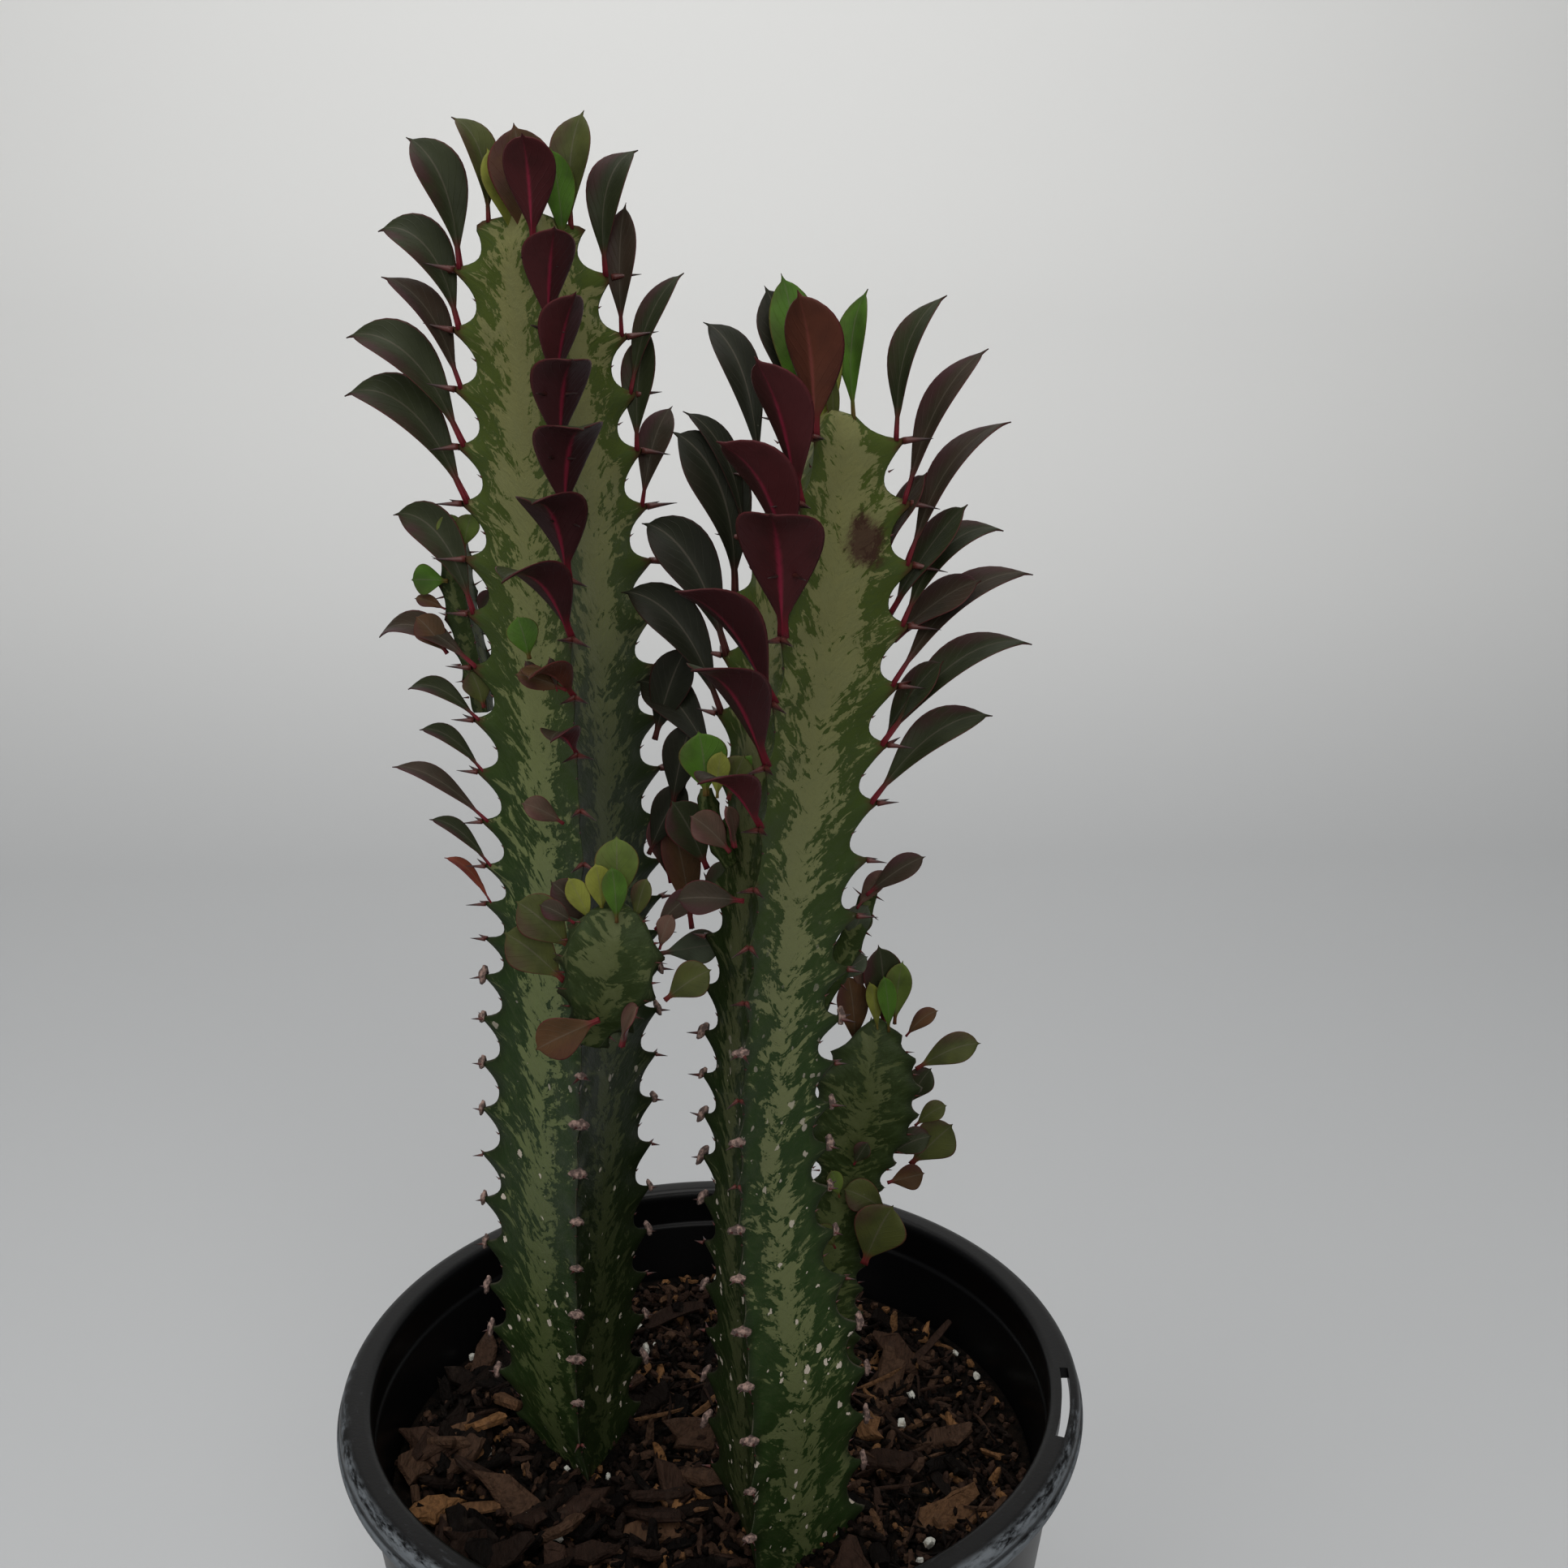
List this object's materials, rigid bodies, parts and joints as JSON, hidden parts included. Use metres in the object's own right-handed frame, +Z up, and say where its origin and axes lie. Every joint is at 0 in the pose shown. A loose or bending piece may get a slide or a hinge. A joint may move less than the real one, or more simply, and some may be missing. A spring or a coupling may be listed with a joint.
{
  "type": "potted euphorbia plant",
  "caption": "Potted candelabra euphorbia: upright ribbed succulent stems with toothed, spiny edges and folded leaves, standing in bark mix in a round nursery pot.",
  "frame": {"origin": "centre of the pot's underside", "axes": "+Z up along the pot's axis and the stems, -Y towards the side that shows both main stems"},
  "size_m": [0.2, 0.2, 0.4962],
  "materials": {
    "pot_plastic": "black, satin",
    "potting_mix": "dark, damp and rough",
    "stem_skin": "dark green skin marbled with pale yellow-green",
    "leaf_skin": "dark green above and burgundy below, soft sheen"
  },
  "bodies": {
    "root": {"leaf_left_front_00": "leaf_skin", "leaf_left_front_02": "leaf_skin", "leaf_left_front_03": "leaf_skin", "leaf_left_front_04": "leaf_skin", "leaf_left_front_05": "leaf_skin", "leaf_left_front_06": "leaf_skin", "leaf_left_front_07": "leaf_skin", "leaf_left_front_08": "leaf_skin", "leaf_left_front_09": "leaf_skin", "leaf_left_left_00": "leaf_skin", "leaf_left_left_01": "leaf_skin", "leaf_left_left_02": "leaf_skin", "leaf_left_left_03": "leaf_skin", "leaf_left_left_04": "leaf_skin", "leaf_left_left_05": "leaf_skin", "leaf_left_left_07": "leaf_skin", "leaf_left_left_08": "leaf_skin", "leaf_left_left_09": "leaf_skin", "leaf_left_left_10": "leaf_skin", "leaf_left_left_11": "leaf_skin", "leaf_left_left_12": "leaf_skin", "leaf_left_right_00": "leaf_skin", "leaf_left_right_01": "leaf_skin", "leaf_left_right_02": "leaf_skin", "leaf_left_right_03": "leaf_skin", "leaf_left_right_04": "leaf_skin", "leaf_left_right_05": "leaf_skin", "leaf_right_back_01": "leaf_skin", "leaf_right_back_02": "leaf_skin", "leaf_right_back_03": "leaf_skin", "leaf_right_back_04": "leaf_skin", "leaf_right_back_05": "leaf_skin", "leaf_right_back_06": "leaf_skin", "leaf_right_back_07": "leaf_skin", "leaf_right_front_01": "leaf_skin", "leaf_right_front_02": "leaf_skin", "leaf_right_front_03": "leaf_skin", "leaf_right_front_04": "leaf_skin", "leaf_right_front_05": "leaf_skin", "leaf_right_front_06": "leaf_skin", "leaf_right_front_07": "leaf_skin", "leaf_right_right_00": "leaf_skin", "leaf_right_right_01": "leaf_skin", "leaf_right_right_02": "leaf_skin", "leaf_right_right_03": "leaf_skin", "leaf_right_right_04": "leaf_skin", "leaf_right_right_05": "leaf_skin", "leaf_right_right_06": "leaf_skin", "leaf_right_right_07": "leaf_skin", "pot": "pot_plastic", "shoot_front": "stem_skin", "shoot_left": "stem_skin", "shoot_middle": "stem_skin", "shoot_right": "stem_skin", "soil": "potting_mix", "stem_left": "stem_skin", "stem_right": "stem_skin", "stem_short": "stem_skin"}
  },
  "joints": []
}
